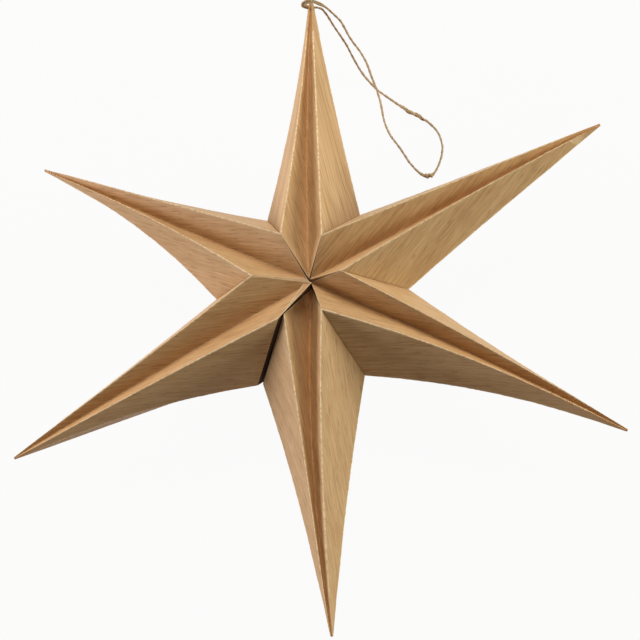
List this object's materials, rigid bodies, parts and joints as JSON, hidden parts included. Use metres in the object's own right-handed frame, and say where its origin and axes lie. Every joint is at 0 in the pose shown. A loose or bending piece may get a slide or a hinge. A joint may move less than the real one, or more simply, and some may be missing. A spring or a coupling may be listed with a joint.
{
  "type": "paper star",
  "caption": "Hanging star of folded wood-grain card: hollow tapering points with valley and ridge folds, glued flank to flank, and a twine loop at the top point.",
  "frame": {"origin": "middle of the star, on the surface that it lies on with its back down", "axes": "+Z out of the star's front, +Y along the top point that carries the twine, +X to the right as seen from the front"},
  "size_m": [0.4015, 0.4497, 0.08],
  "materials": {
    "wood_grain_card": "matte",
    "twine": "matte"
  },
  "bodies": {
    "root": {"point_bottom": "wood_grain_card", "point_lower_right": "wood_grain_card", "point_upper_right": "wood_grain_card", "point_top": "wood_grain_card", "point_upper_left": "wood_grain_card", "point_lower_left": "wood_grain_card", "hanging_cord": "twine"}
  },
  "joints": []
}
